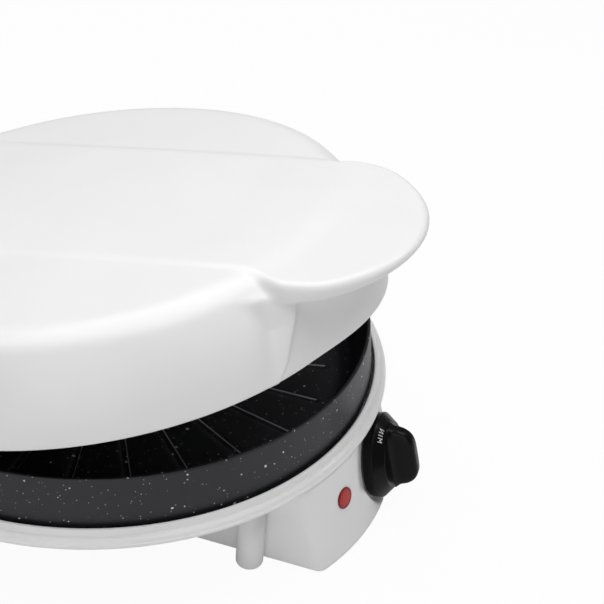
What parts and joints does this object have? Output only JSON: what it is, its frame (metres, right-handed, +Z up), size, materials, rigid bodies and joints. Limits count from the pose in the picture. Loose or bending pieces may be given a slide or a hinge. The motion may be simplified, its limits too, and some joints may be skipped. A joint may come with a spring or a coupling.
{
  "type": "electric pizza maker",
  "caption": "Round electric pizza maker: white base with a dark pan and a front dial, and a white domed lid hinged at the back, standing a little open.",
  "frame": {"origin": "middle of the footprint at the floor, 3.2 mm in front of the pan's axis", "axes": "+Z up, the dial and the lid's lip face -Y, the hinge is at +Y and runs along X"},
  "size_m": [0.3768, 0.4404, 0.2027],
  "materials": {
    "white_plastic": "satin white moulding",
    "black_plastic": "gloss black",
    "red_lens": "clear red",
    "ivory_plastic": "plain moulding",
    "pan_coating": "dark speckled non-stick coating",
    "plated_steel": "zinc plated",
    "shield_sheet": "thin reflector sheet, plain",
    "element_sheath": "dull heat-darkened sheath",
    "copper": "drawn capillary",
    "ceramic": "plain",
    "lead_cover": "glass-fibre sleeve",
    "bush": "turned",
    "rubber": "black"
  },
  "bodies": {
    "base": {"base_shell": "white_plastic", "foot_pads": "rubber", "housing_cover": "white_plastic", "cover_screws": "plated_steel", "heat_shield": "shield_sheet", "pan": "pan_coating", "pan_spacers": "plated_steel", "pan_screws": "plated_steel", "lower_element": "element_sheath", "lower_element_clips": "plated_steel", "clip_screws": "plated_steel", "thermostat": "ivory_plastic", "thermostat_screws": "plated_steel", "thermostat_bulb": "copper", "bulb_clip": "plated_steel", "thermal_fuse": "ceramic", "lamp_lens": "red_lens", "lamp_holder": "ivory_plastic", "terminal_block": "ivory_plastic", "cord_gland": "rubber", "cord_clamp": "ivory_plastic", "clamp_screws": "plated_steel", "housing_wires": "lead_cover", "hinge_lead": "lead_cover", "hinge_pin": "plated_steel", "hinge_cap": "white_plastic"},
    "lid": {"lid_shell": "white_plastic", "hinge_bushes": "bush", "lid_liner": "shield_sheet", "liner_screws": "plated_steel", "upper_element": "element_sheath", "upper_element_clips": "plated_steel", "upper_clip_screws": "plated_steel", "lid_lead": "lead_cover"},
    "dial_knob": {"dial": "black_plastic", "dial_shaft": "plated_steel"}
  },
  "joints": [
    {"name": "lid_hinge", "type": "hinge", "parent": "base", "child": "lid", "pos_m": [0, 0.2092, 0.073], "axis": [-1, 0, 0], "range_deg": [-10.1, 85]},
    {"name": "dial_turn", "type": "hinge", "parent": "base", "child": "dial_knob", "pos_m": [0, -0.18556, 0.0299], "axis": [0, -0.9661, 0.2582], "range_deg": [-270, 0]}
  ]
}
